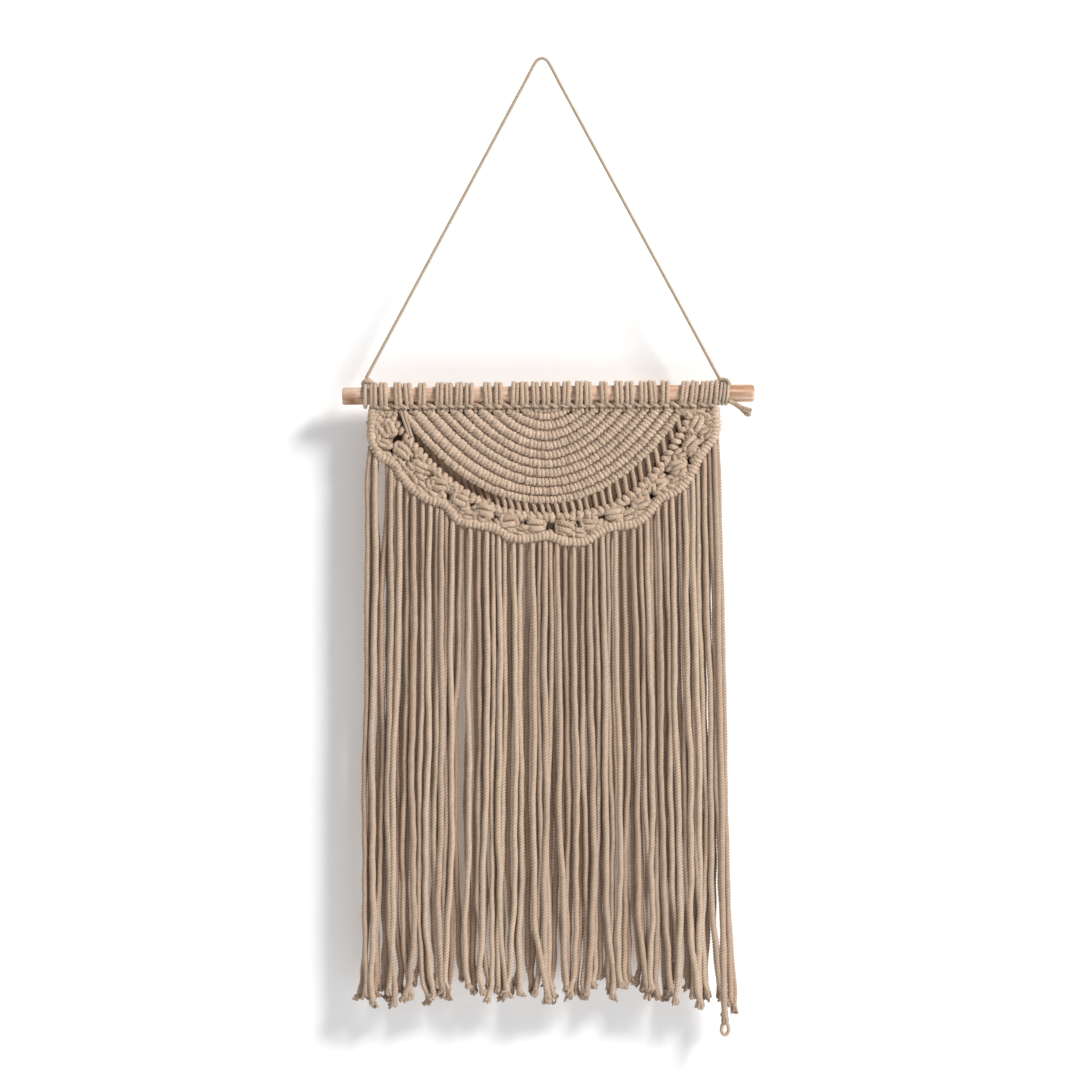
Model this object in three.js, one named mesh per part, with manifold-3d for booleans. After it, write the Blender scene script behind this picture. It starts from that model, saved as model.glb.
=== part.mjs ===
// Macrame wall hanging on a wooden rod.
// Millimetres, +Z up, -Y toward the room. The origin is the point where a nail carries the hanging cord.
// Tables give a height as a drop: the distance below the rod's axis at x = 0.

import * as THREE from 'three';
import { mergeVertices } from 'three/addons/utils/BufferGeometryUtils.js';
import Module from 'manifold-3d';

const wasm = await Module();
wasm.setup();

// ---------------------------------------------------------------- driving dimensions

const GAP = 0.3; // clear space between pieces that touch
const THIN_CORD = 2.8; // twisted hanging cord

const ROD_DIAMETER = 15;
const ROD_LENGTH = 350;
const ROD_CHAMFER = 0.8;
const ROD_CENTRE_X = 5.5;
const ROD_TILT = THREE.MathUtils.degToRad(0.42); // the right end is the higher one
const ROD_DROP = 284.5; // from the nail down to the rod's axis at x = 0
const ROD_RADIUS = ROD_DIAMETER / 2;
const ROD_SIDES = 24;

const LOOP_SEGMENTS = 8; // straight pieces in one turn round the rod
const LOOP_CLEAR = ROD_RADIUS + GAP;
const LOOP_THICKNESS = 3.4;
const LOOP_PAIR_WIDTH = 7.3;
const LOOP_VALLEY = 1.3; // how far the groove between the two strands of a pair sinks
const LOOP_CREST = 0.6; // where each strand's crest lies, as a share of the pair's half width

// Centres of the paired loops on the rod, from the left.
const LOOP_CENTRES = [
  -143.2, -134.4, -122.0, -113.5, -102.0, -87.3, -79.0, -70.4, -61.6, -46.3,
  -37.0, -23.1, -14.9, -5.6, 3.4, 12.4, 20.6, 31.0, 39.2, 52.7,
  65.5, 74.4, 85.9, 94.4, 104.6, 120.5, 128.8, 137.0, 145.2,
];

// Heading bar under the rod, which the loops are fused into.
const HEADING = { left: -146, right: 148, halfDepth: 5, height: 5.2 };
const FAN_SINK = 1.1; // how far the fan's top runs up into the heading

// Edges between the fan's bars, from the innermost outward. Each edge is an arc that hangs from
// the heading: its reach to the left and the right of the fan's middle, its depth below the
// heading, and how full it hangs on each side.
const FAN_CENTRE_X = 3.4;
const FAN_EDGES = [
  { left: 6.0, right: 7.0, depth: 0.0, fullLeft: 1.9, fullRight: 1.9 },
  { left: 13.0, right: 14.0, depth: 2.6, fullLeft: 1.9, fullRight: 1.9 },
  { left: 26.0, right: 25.5, depth: 9.9, fullLeft: 1.9, fullRight: 1.9 },
  { left: 38.0, right: 37.0, depth: 18.4, fullLeft: 1.9, fullRight: 1.9 },
  { left: 49.0, right: 47.5, depth: 27.2, fullLeft: 1.9, fullRight: 1.9 },
  { left: 62.0, right: 57.5, depth: 35.3, fullLeft: 1.85, fullRight: 1.9 },
  { left: 73.0, right: 68.0, depth: 42.9, fullLeft: 1.85, fullRight: 1.95 },
  { left: 85.0, right: 81.0, depth: 50.5, fullLeft: 1.85, fullRight: 2.0 },
  { left: 94.0, right: 89.5, depth: 58.5, fullLeft: 1.85, fullRight: 2.0 },
  { left: 106.0, right: 100.5, depth: 66.1, fullLeft: 1.95, fullRight: 2.05 },
  { left: 117.5, right: 111.0, depth: 73.8, fullLeft: 2.1, fullRight: 2.1 },
  { left: 127.0, right: 119.5, depth: 80.5, fullLeft: 2.15, fullRight: 2.15 },
];
const FAN_COLUMNS = 24;
const FAN_CREST = 4.4; // half the fan's thickness on a bar's crest
const FAN_GROOVE = 2.9; // and between two bars
const FAN_WRAP = 0.45; // rise and fall of the wraps along a bar

// The thin bar under the open band, hung the same way as the fan's edges.
const INNER_BAR = { left: 134.5, right: 125.5, depth: 91.1, fullLeft: 2.25, fullRight: 3.0 };
const INNER_BAR_RADIUS = 2.7;
const INNER_BAR_STEPS = 36;
const INNER_BAR_SIDES = 4;

// Bare strands of the open band, between the fan and the thin bar.
const OPEN_STRANDS = { first: -112, pitch: 6.5, count: 35, lean: 2.6, width: 3.4, sink: 1.6 };
const STRAND_SIDES = 3;

// Square knots: the centre of each, the upper row first.
const KNOTS = [
  { x: -129, drop: 28.3 }, { x: -119, drop: 47.0 }, { x: -103.5, drop: 61.4 }, { x: -86.5, drop: 76.7 },
  { x: -69, drop: 89.5 }, { x: -48.5, drop: 98.0 }, { x: -28, drop: 107.3 }, { x: -5, drop: 110.7 },
  { x: 19.5, drop: 111.6 }, { x: 40, drop: 109.9 }, { x: 61, drop: 101.4 }, { x: 83.5, drop: 92.0 },
  { x: 100.5, drop: 75.9 }, { x: 115, drop: 59.7 }, { x: 126.5, drop: 41.9 }, { x: 131, drop: 24.9 },
];
const LOWER_KNOTS = [
  { x: -134.5, drop: 41.0 }, { x: -103, drop: 78.4 }, { x: -63, drop: 102.2 }, { x: -18, drop: 115.8 },
  { x: 31.5, drop: 117.5 }, { x: 72.5, drop: 102.6 }, { x: 114, drop: 74.2 }, { x: 139.5, drop: 33.4 },
];
// A knot is a faceted ball that swells above and below its waist.
const KNOT = {
  halfWidth: 8.4, halfHeight: 5.6, halfDepth: 5.2, waist: 0.72, swell: 1.15,
  followsSlope: 0.7, sides: 6, rows: 4,
};
const KNOT_LEG = { halfDepth: 2.2, halfWidth: 5.2, sides: 4 };

// Centreline of the scalloped border. Each row is one scallop: two points of its belly, and the
// cusp or the end where it stops.
const BORDER_START = { x: -142, drop: 11.3 };
const SCALLOPS = [
  { firstX: -142.0, firstDrop: 38.5, lastX: -137.7, lastDrop: 50.4, cuspX: -126.7, cuspDrop: 58.0 },
  { firstX: -115.0, firstDrop: 74.5, lastX: -98.0, lastDrop: 87.8, cuspX: -83.3, cuspDrop: 92.9 },
  { firstX: -70.0, firstDrop: 106.5, lastX: -52.0, lastDrop: 110.4, cuspX: -39.1, cuspDrop: 113.3 },
  { firstX: -25.0, firstDrop: 121.3, lastX: -7.0, lastDrop: 121.2, cuspX: 5.1, cuspDrop: 119.6 },
  { firstX: 19.0, firstDrop: 124.2, lastX: 37.0, lastDrop: 124.0, cuspX: 48.5, cuspDrop: 116.7 },
  { firstX: 60.0, firstDrop: 111.7, lastX: 79.0, lastDrop: 109.0, cuspX: 91.0, cuspDrop: 99.7 },
  { firstX: 99.5, firstDrop: 88.8, lastX: 114.0, lastDrop: 81.8, cuspX: 123.3, cuspDrop: 72.5 },
  { firstX: 134.0, firstDrop: 52.0, lastX: 145.0, lastDrop: 34.5, cuspX: 146.2, cuspDrop: 11.3 },
];
const BORDER_RADIUS = 4;
const BORDER_GROOVE = 0.6;
const BORDER_WRAPS = 36;
const BORDER_SIDES = 5;

// Fringe: a strip just under the border, and the strands that hang from it in two layers.
const STRIP = { halfHeight: 1.4, halfDepth: 3.6, from: 0.075, to: 0.93, points: 60, steps: 64, sides: 4 };
// The waves are swing wide, and turn by so many radians down a strand and across the fringe.
const FRINGE = {
  left: -147.5, right: 149.5, radius: 2.2, steps: 3, sink: 0.5, spreadLeft: -6.0, spreadRight: 10.0,
  swing: 1.2, waveAlong: 5, waveAcross: 6,
};
const EYE = { strand: 51, halfWidth: 3.6, halfHeight: 7.4, cord: 1.3, sink: 1, sides: 5, steps: 10 };
const FRINGE_LAYERS = [
  { count: 53, y: -1.6, inset: 0, eyeStrand: EYE.strand },
  { count: 16, y: 3.2, inset: 0.5, eyeStrand: null },
];
// Drop of the cut ends across the fringe.
const FRINGE_ENDS = [
  { x: -154, drop: 517 }, { x: -110, drop: 513 }, { x: -60, drop: 511 }, { x: 0, drop: 514 },
  { x: 60, drop: 508 }, { x: 110, drop: 516 }, { x: 158, drop: 525 },
];
const END_UNEVEN = 5; // how far a cut end may lie above or below its neighbours

// Centreline of the hanging cord: up from the knob at the left, over the nail, down to the turns.
const HANGER_ROUTE = [
  { x: -149.4, z: -270.2 }, { x: -125.4, z: -225.6 }, { x: -101.4, z: -180.8 }, { x: -77.4, z: -136.1 },
  { x: -53.3, z: -91.3 }, { x: -29.3, z: -46.5 }, { x: -15.4, z: -20.6 }, { x: -5.3, z: -1.8 },
  { x: -3.1, z: 0.5 }, { x: 0, z: 1.4 }, { x: 3.1, z: 0.5 }, { x: 5.3, z: -1.8 },
  { x: 15.5, z: -20.6 }, { x: 29.6, z: -46.7 }, { x: 54.0, z: -91.7 }, { x: 78.3, z: -136.6 },
  { x: 102.7, z: -181.5 }, { x: 127.0, z: -226.5 }, { x: 150.9, z: -270.9 },
];
const HANGER_STEPS = 54;
const THIN_SIDES = 8;
const LEFT_WRAP_X = [-150.4];
const RIGHT_WRAP_X = [151.2, 154.4, 157.6];
const WRAP_PITCH = 3.2;
const WRAP_CREST = 0.4; // half a turn's flat crest, as a share of half the pitch
const WRAP_VALLEY = 1; // how far the groove between two turns sinks
const WRAP_SEGMENTS = 12;
const KNOB = { halfWidth: 2.9, halfHeight: 2.6, halfDepth: 4.2, rise: 12.3, sides: 8, rows: 6 };

// The tied end's free tail: its centreline from the last turn, and its thickness where it frays.
const TAIL_START = { x: 161.4, y: -6.4, drop: 6.6 };
const TAIL_END = { x: 175.0, y: -8.0, drop: 15.6 };
const TAIL_RADIUS = { start: 1.9, end: 2.7 };
const TAIL_STEPS = 4;

const CURVE_SAMPLES = 400;
const LOOSE = 0.05; // how far a measured distance may fall short
const TINY = 1e-6;
const SCATTER = { step: 12.9898, seed: 78.233, size: 43758.5453 };

const COTTON = { color: 0xc4a98a, roughness: 0.95, metalness: 0 };
const COTTON_THIN = { color: 0xbfa486, roughness: 0.95, metalness: 0 };
const WOOD = { color: 0xcda584, roughness: 0.6, metalness: 0 };

// ---------------------------------------------------------------- shared helpers

const FRONT = new THREE.Vector3(0, -1, 0);
const rodLift = (x) => x * Math.tan(ROD_TILT); // how far the tilted rod lies above its height at x = 0
const clamp = THREE.MathUtils.clamp;

// A geometry with its shared points merged, so that it is one closed mesh.
function welded(geometry) {
  const bare = geometry.index ? geometry.toNonIndexed() : geometry;
  bare.deleteAttribute('normal');
  bare.deleteAttribute('uv');
  return mergeVertices(bare, 1e-4);
}

function toSolid(geometry) {
  const mesh = welded(geometry);
  return new wasm.Manifold(
    new wasm.Mesh({
      numProp: 3,
      vertProperties: new Float32Array(mesh.attributes.position.array),
      triVerts: new Uint32Array(mesh.index.array),
    }),
  );
}

function toGeometry(solid) {
  const mesh = solid.getMesh();
  const geometry = new THREE.BufferGeometry();
  geometry.setAttribute('position', new THREE.BufferAttribute(new Float32Array(mesh.vertProperties), 3));
  geometry.setIndex(new THREE.BufferAttribute(new Uint32Array(mesh.triVerts), 1));
  geometry.computeVertexNormals();
  return geometry;
}

function joined(geometries) {
  return geometries.map(toSolid).reduce((whole, solid) => whole.add(solid));
}

// A geometry whose every point is moved by place(point).
function reshaped(geometry, place) {
  const position = geometry.attributes.position;
  const point = new THREE.Vector3();
  for (let i = 0; i < position.count; i += 1) {
    point.fromBufferAttribute(position, i);
    place(point);
    position.setXYZ(i, point.x, point.y, point.z);
  }
  return geometry;
}

// A closed bar along a curve. reach(t) gives its half depth, toward the front, and its half
// width, across the front, at the share t of its length.
function bar(curve, steps, sides, reach) {
  return reshaped(new THREE.CylinderGeometry(1, 1, 1, sides, steps), (point) => {
    const t = clamp(point.y + 0.5, 0, 1);
    const along = curve.getTangentAt(t);
    const front = FRONT.clone().addScaledVector(along, -FRONT.dot(along)).normalize();
    const across = new THREE.Vector3().crossVectors(front, along);
    const { depth, width } = reach(t);
    const { x: forward, z: sideways } = point;
    point.copy(curve.getPointAt(t));
    point.addScaledVector(front, forward * depth).addScaledVector(across, sideways * width);
  });
}

// The reach of a bar whose wraps rise and sink along it.
function wrapped(radius, groove, wraps) {
  const steps = 2 * wraps;
  return (t) => {
    const inGroove = Math.round(t * steps) % 2 === 0;
    const size = inGroove ? radius - groove : radius;
    return { depth: size, width: size };
  };
}

const plain = (depth, width) => () => ({ depth, width });
const at = (x, drop, y = 0) => new THREE.Vector3(x, y, -drop);
const line = (from, to) => new THREE.LineCurve3(from, to);

function meshOf(name, geometry, look) {
  const mesh = new THREE.Mesh(geometry, new THREE.MeshStandardMaterial(look));
  mesh.name = name;
  return mesh;
}

// ---------------------------------------------------------------- rod and what is wound on it

function rodGeometry() {
  const half = ROD_LENGTH / 2;
  const profile = [
    new THREE.Vector2(0, -half),
    new THREE.Vector2(ROD_RADIUS - ROD_CHAMFER, -half),
    new THREE.Vector2(ROD_RADIUS, -half + ROD_CHAMFER),
    new THREE.Vector2(ROD_RADIUS, half - ROD_CHAMFER),
    new THREE.Vector2(ROD_RADIUS - ROD_CHAMFER, half),
    new THREE.Vector2(0, half),
  ];
  return new THREE.LatheGeometry(profile, ROD_SIDES).rotateZ(-Math.PI / 2);
}

// A ring round the rod, made from its section's [offset along the rod, distance from its axis].
// The faceted ring is sized so that the flats of its inner side clear the rod.
function ringRoundRod(x, section, segments) {
  const facetGrowth = 1 / Math.cos(Math.PI / segments);
  const profile = section.map(([along, radius]) => new THREE.Vector2(radius * facetGrowth, along));
  profile.reverse();
  profile.push(profile[0].clone());
  const ring = new THREE.LatheGeometry(profile, segments);
  ring.rotateZ(-Math.PI / 2).rotateX(Math.PI / segments).rotateY(-ROD_TILT);
  return ring.translate(x, 0, rodLift(x));
}

// Two strands side by side over the rod.
function loopPair(x) {
  const half = LOOP_PAIR_WIDTH / 2;
  const outer = LOOP_CLEAR + LOOP_THICKNESS;
  const crest = half * LOOP_CREST;
  const section = [
    [-half, LOOP_CLEAR], [half, LOOP_CLEAR], [crest, outer], [0, outer - LOOP_VALLEY], [-crest, outer],
  ];
  return ringRoundRod(x, section, LOOP_SEGMENTS);
}

// Turns of the thin cord that lie side by side on the rod.
function turns(centres) {
  const half = WRAP_PITCH / 2;
  const outer = LOOP_CLEAR + THIN_CORD;
  const first = centres[0];
  const last = centres.at(-1);
  const section = [[first - half, LOOP_CLEAR], [last + half, LOOP_CLEAR]];
  [...centres].reverse().forEach((centre, i) => {
    section.push([centre + half * WRAP_CREST, outer], [centre - half * WRAP_CREST, outer]);
    if (i < centres.length - 1) {
      section.push([centre - half, outer - WRAP_VALLEY]);
    }
  });
  const middle = (first + last) / 2;
  return ringRoundRod(middle, section.map(([along, radius]) => [along - middle, radius]), WRAP_SEGMENTS);
}

// ---------------------------------------------------------------- knotted panel

const headingTop = (x) => rodLift(x) - ROD_RADIUS - 2 * GAP;
const fanTop = (x) => headingTop(x) - HEADING.height + FAN_SINK;

// An arc that hangs from the heading.
function hangingArc(edge) {
  const curve = new THREE.Curve();
  curve.getPoint = (t) => {
    const turn = Math.sin((t - 0.5) * Math.PI);
    const offset = turn < 0 ? turn * edge.left : turn * edge.right;
    const fullness = turn < 0 ? edge.fullLeft : edge.fullRight;
    const x = FAN_CENTRE_X + offset;
    return new THREE.Vector3(x, 0, fanTop(x) - edge.depth * (1 - Math.abs(turn) ** fullness));
  };
  return curve;
}

// The fan: bars side by side, each with a rounded crest, its wraps rising and sinking along it.
function fanGeometry() {
  const bars = FAN_EDGES.length - 1;
  const arcs = FAN_EDGES.map(hangingArc);
  const box = new THREE.BoxGeometry(1, 1, 1, FAN_COLUMNS, 2 * bars, 1);
  return reshaped(box, (point) => {
    const column = Math.round((point.x + 0.5) * FAN_COLUMNS);
    const halfRow = Math.round((0.5 - point.y) * 2 * bars);
    const side = Math.sign(point.z);
    const inner = Math.min(Math.floor(halfRow / 2), bars);
    const onCrest = halfRow % 2 === 1;
    const place = arcs[inner].getPoint(column / FAN_COLUMNS);
    if (onCrest) {
      place.lerp(arcs[inner + 1].getPoint(column / FAN_COLUMNS), 0.5);
    }
    const wrap = (column + inner) % 2 === 0 ? FAN_WRAP : -FAN_WRAP;
    const thickness = onCrest ? FAN_CREST + wrap : FAN_GROOVE;
    point.set(place.x, -side * thickness, place.z);
  });
}

function squareKnot(knot, slope) {
  const ball = new THREE.SphereGeometry(1, KNOT.sides, KNOT.rows);
  const lean = Math.atan(slope) * KNOT.followsSlope;
  reshaped(ball, (point) => {
    const atWaist = Math.abs(point.y) < TINY;
    const width = KNOT.halfWidth * (atWaist ? 1 : KNOT.swell);
    const depth = KNOT.halfDepth * (atWaist ? KNOT.waist : KNOT.swell);
    point.set(point.x * width, -point.z * depth, point.y * KNOT.halfHeight);
  });
  return ball.rotateY(-lean).translate(knot.x, 0, -knot.drop);
}

function borderCurve() {
  const points = [at(BORDER_START.x, BORDER_START.drop)];
  for (const scallop of SCALLOPS) {
    points.push(at(scallop.firstX, scallop.firstDrop));
    points.push(at(scallop.lastX, scallop.lastDrop));
    points.push(at(scallop.cuspX, scallop.cuspDrop));
  }
  return new THREE.CatmullRomCurve3(points, false, 'centripetal');
}

// The sample that measures least.
function least(samples, measure) {
  return samples.reduce((best, sample) => (measure(sample) < measure(best) ? sample : best));
}

const nearest = (samples, point) => least(samples, (sample) => sample.distanceToSquared(point));
const nearestAcross = (samples, x) => least(samples, (sample) => Math.abs(sample.x - x));

function knottedPanel() {
  const fanEdge = hangingArc(FAN_EDGES.at(-1));
  const innerArc = hangingArc(INNER_BAR);
  const border = borderCurve();
  const innerSamples = innerArc.getSpacedPoints(CURVE_SAMPLES);
  const borderSamples = border.getSpacedPoints(CURVE_SAMPLES);
  const pieces = [fanGeometry()];

  const headingAxis = (x) => new THREE.Vector3(x, 0, headingTop(x) - HEADING.height / 2);
  const headingLength = HEADING.right - HEADING.left;
  const heading = new THREE.BoxGeometry(headingLength, 2 * HEADING.halfDepth, HEADING.height);
  const headingMiddle = headingAxis((HEADING.left + HEADING.right) / 2);
  heading.rotateY(-ROD_TILT).translate(headingMiddle.x, 0, headingMiddle.z);
  pieces.push(heading, ...LOOP_CENTRES.map(loopPair));
  const borderReach = wrapped(BORDER_RADIUS, BORDER_GROOVE, BORDER_WRAPS);
  pieces.push(bar(border, 2 * BORDER_WRAPS, BORDER_SIDES, borderReach));
  const innerReach = plain(INNER_BAR_RADIUS, INNER_BAR_RADIUS);
  pieces.push(bar(innerArc, INNER_BAR_STEPS, INNER_BAR_SIDES, innerReach));

  // Bare strands from the fan's last bar down to the thin bar.
  const edgeSamples = fanEdge.getSpacedPoints(CURVE_SAMPLES);
  const strandReach = plain(OPEN_STRANDS.width / 2, OPEN_STRANDS.width / 2);
  for (let i = 0; i < OPEN_STRANDS.count; i += 1) {
    const x = OPEN_STRANDS.first + i * OPEN_STRANDS.pitch;
    const top = nearestAcross(edgeSamples, x).clone();
    const foot = nearestAcross(innerSamples, x + OPEN_STRANDS.lean);
    top.z += OPEN_STRANDS.sink;
    pieces.push(bar(line(top, foot), 1, STRAND_SIDES, strandReach));
  }

  // Knots, tied to the thin bar above and the border below by a pair of strands each way.
  const legReach = plain(KNOT_LEG.halfDepth, KNOT_LEG.halfWidth);
  const legs = (from, to) => bar(line(from, to), 1, KNOT_LEG.sides, legReach);
  for (const knot of [...KNOTS, ...LOWER_KNOTS]) {
    const centre = at(knot.x, knot.drop);
    const above = nearest(innerSamples, centre);
    const below = nearest(borderSamples, centre);
    const slope = (below.x - above.x) / (above.z - below.z);
    pieces.push(squareKnot(knot, slope), legs(above, centre), legs(centre, below));
  }
  return joined(pieces);
}

// ---------------------------------------------------------------- fringe

// The border's outer side, moved out by a distance and without the loops at its cusps.
function outsideOf(border, distance) {
  const samples = border.getSpacedPoints(CURVE_SAMPLES);
  const kept = [];
  for (let i = 0; i <= STRIP.points; i += 1) {
    const t = THREE.MathUtils.lerp(STRIP.from, STRIP.to, i / STRIP.points);
    const along = border.getTangentAt(t);
    const out = new THREE.Vector3().crossVectors(along, FRONT);
    const point = border.getPointAt(t).addScaledVector(out, distance);
    if (nearest(samples, point).distanceTo(point) > distance - LOOSE) {
      kept.push(point);
    }
  }
  return new THREE.CatmullRomCurve3(kept, false, 'centripetal');
}

// A repeatable scatter of numbers between -1 and 1.
function uneven(i, seed) {
  const mixed = Math.sin(i * SCATTER.step + seed * SCATTER.seed) * SCATTER.size;
  return 2 * (mixed - Math.floor(mixed)) - 1;
}

function endDrop(x) {
  const next = Math.max(1, FRINGE_ENDS.findIndex((end) => end.x >= x));
  const a = FRINGE_ENDS[next - 1];
  const b = FRINGE_ENDS[next];
  return a.drop + ((b.drop - a.drop) * (x - a.x)) / (b.x - a.x);
}

// One strand: straight down from its root, spread a little and gently waved like its neighbours.
function fringeStrand(root, y, index) {
  const share = (root.x - FRINGE.left) / (FRINGE.right - FRINGE.left);
  const spread = THREE.MathUtils.lerp(FRINGE.spreadLeft, FRINGE.spreadRight, share);
  const end = -endDrop(root.x) + END_UNEVEN * uneven(index, y);
  const points = [];
  for (let i = 0; i <= FRINGE.steps; i += 1) {
    const t = i / FRINGE.steps;
    const wave = FRINGE.swing * Math.sin(t * FRINGE.waveAlong + share * FRINGE.waveAcross) * t;
    const z = THREE.MathUtils.lerp(root.z - FRINGE.sink, end, t);
    points.push(new THREE.Vector3(root.x + spread * t + wave, y, z));
  }
  const path = new THREE.CatmullRomCurve3(points);
  const strand = bar(path, FRINGE.steps, STRAND_SIDES, plain(FRINGE.radius, FRINGE.radius));
  return { path, strand };
}

// A small upright loop of thin cord under the end of a strand.
function eye(end) {
  const loop = new THREE.TorusGeometry(1, 1, EYE.sides, EYE.steps);
  return reshaped(loop, (point) => {
    const turn = Math.atan2(point.y, point.x);
    const outward = Math.hypot(point.x, point.y) - 1;
    const x = (EYE.halfWidth + EYE.cord * outward) * Math.cos(turn);
    const z = (EYE.halfHeight + EYE.cord * outward) * Math.sin(turn);
    point.set(end.x + x, end.y - EYE.cord * point.z, end.z + EYE.sink - EYE.halfHeight + z);
  });
}

function fringe() {
  const stripLine = outsideOf(borderCurve(), BORDER_RADIUS + GAP + STRIP.halfHeight);
  const samples = stripLine.getSpacedPoints(CURVE_SAMPLES);
  const pieces = [bar(stripLine, STRIP.steps, STRIP.sides, plain(STRIP.halfDepth, STRIP.halfHeight))];
  for (const { count, y, inset, eyeStrand } of FRINGE_LAYERS) {
    for (let i = 0; i < count; i += 1) {
      const share = (i + inset) / (count - 1 + 2 * inset);
      const x = THREE.MathUtils.lerp(FRINGE.left, FRINGE.right, share);
      const { path, strand } = fringeStrand(nearestAcross(samples, x), y, i);
      pieces.push(strand);
      if (i === eyeStrand) {
        pieces.push(eye(path.getPointAt(1)));
      }
    }
  }
  return joined(pieces);
}

// ---------------------------------------------------------------- hanging cord

function hangerCord() {
  const route = new THREE.CatmullRomCurve3(HANGER_ROUTE.map(({ x, z }) => new THREE.Vector3(x, 0, z)));
  const byPoint = new THREE.Curve(); // as many steps between each two points, so that the bend is fine
  byPoint.getPointAt = (t) => route.getPoint(t);
  byPoint.getTangentAt = (t) => route.getTangent(t);
  return bar(byPoint, HANGER_STEPS, THIN_SIDES, plain(THIN_CORD / 2, THIN_CORD / 2));
}

function leftWrap() {
  const [x] = LEFT_WRAP_X;
  const knob = new THREE.SphereGeometry(1, KNOB.sides, KNOB.rows);
  knob.scale(KNOB.halfWidth, KNOB.halfDepth, KNOB.halfHeight).translate(x, 0, rodLift(x) + KNOB.rise);
  return joined([turns(LEFT_WRAP_X), knob]);
}

function tail() {
  const from = at(TAIL_START.x, TAIL_START.drop, TAIL_START.y);
  const to = at(TAIL_END.x, TAIL_END.drop, TAIL_END.y);
  return bar(line(from, to), TAIL_STEPS, THIN_SIDES, (t) => {
    const radius = THREE.MathUtils.lerp(TAIL_RADIUS.start, TAIL_RADIUS.end, t * t);
    return { depth: radius, width: radius };
  });
}

// ---------------------------------------------------------------- the hanging

const atRod = new THREE.Group();
atRod.position.z = -ROD_DROP;

const rod = meshOf('rod', rodGeometry(), WOOD);
rod.position.set(ROD_CENTRE_X, 0, rodLift(ROD_CENTRE_X));
rod.rotation.y = -ROD_TILT;
atRod.add(rod);
atRod.add(meshOf('knotted_panel', toGeometry(knottedPanel()), COTTON));
atRod.add(meshOf('fringe', toGeometry(fringe()), COTTON));
atRod.add(meshOf('hanger_wrap_left', toGeometry(leftWrap()), COTTON_THIN));
atRod.add(meshOf('hanger_wrap_right', turns(RIGHT_WRAP_X), COTTON_THIN));
atRod.add(meshOf('hanger_tail', tail(), COTTON_THIN));

const group = new THREE.Group();
group.add(atRod);
group.add(meshOf('hanger_cord', hangerCord(), COTTON_THIN));

export default group;
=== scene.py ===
import math
from collections import namedtuple

import bmesh
import bpy
import numpy as np
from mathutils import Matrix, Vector


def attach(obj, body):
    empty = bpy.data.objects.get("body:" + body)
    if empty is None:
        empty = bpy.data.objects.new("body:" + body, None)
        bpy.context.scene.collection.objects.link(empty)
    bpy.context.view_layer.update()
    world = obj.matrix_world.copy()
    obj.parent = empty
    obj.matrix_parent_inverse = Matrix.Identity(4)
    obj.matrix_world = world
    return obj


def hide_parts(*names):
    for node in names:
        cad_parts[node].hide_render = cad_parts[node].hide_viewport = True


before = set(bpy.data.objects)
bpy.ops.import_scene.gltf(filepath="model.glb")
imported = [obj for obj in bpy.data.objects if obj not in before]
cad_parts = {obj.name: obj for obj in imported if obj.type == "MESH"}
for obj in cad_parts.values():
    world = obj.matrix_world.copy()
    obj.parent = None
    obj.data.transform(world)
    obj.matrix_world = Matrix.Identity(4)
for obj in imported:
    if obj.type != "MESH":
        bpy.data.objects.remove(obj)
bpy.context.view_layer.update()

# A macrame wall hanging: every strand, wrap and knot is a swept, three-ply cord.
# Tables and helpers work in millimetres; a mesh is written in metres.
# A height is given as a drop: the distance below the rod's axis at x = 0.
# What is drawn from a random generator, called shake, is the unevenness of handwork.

MM = 0.001
FRONT = np.array([0.0, -1.0, 0.0])
RIGHT = np.array([1.0, 0.0, 0.0])
UP = np.array([0.0, 0.0, 1.0])
TURN = 2 * math.pi

# ---------------- sizes

CORD_RADIUS = 2.3  # a slack strand of the fringe
CORD_TURN = 7.7  # length in which its three plies go round once
WRAP_RADIUS = 2.3  # the same cord, pressed against its neighbours in a bar
WRAP_TURN = 6.6
WRAP_PITCH = 3.4
CORE_TURN = 12.0  # in a cord that others are wound round
PLY_GROOVE = 0.24  # how deep the grooves between plies are, as a share of the radius
KNOT_GROOVE = 0.17  # the same in a knot
PRESSED_GROOVE = 0.11  # and in a tight bar
PLIES = 3
SECTION_SIDES = 2 * PLIES
TIP_BULGE = 0.4  # how far a strand's end bulges, as a share of the radius
# painted groove shade, then painted shade, at the middle of a strand's end cap
TIP_GROOVE_SHADE = 0.5
TIP_PAINTED_SHADE = 0.3

# Where a strand lies says which of its points get painted shade, as if they lay out of the light.
OPEN = "in the open"  # none
PANEL = "in the panel"  # those toward the middle of the panel's thickness
BEHIND = "at the panel's back"  # those on the side that faces the room
CREST_DEPTH = 4.0  # how far from the panel's middle a point is fully out in the light and gets no painted shade
BACK_FADE = 0.8  # how fast the painted shade on a strand at the back grows from its back to its front

THIN_RADIUS = 1.55  # the hanging cord, over its plies
THIN_TURN = 5.4

ROD_DROP = 284.5  # from the nail down to the rod's axis at x = 0
ROD_RADIUS = 7.5
ROD_LENGTH = 350.0
ROD_CENTRE_X = 5.5
ROD_ROUNDING = 2.6  # of its right end
ROD_SIDES = 64
ROD_TILT = math.radians(0.42)

VIEW_WIDTH = 918.0  # what the camera's frame spans at the hanging
VIEW_X, VIEW_Z = -1.7, -408.0
CAMERA_DISTANCE = 3200.0
SENSOR_WIDTH = 36.0
CLIP_END = 100.0  # in metres

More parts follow.
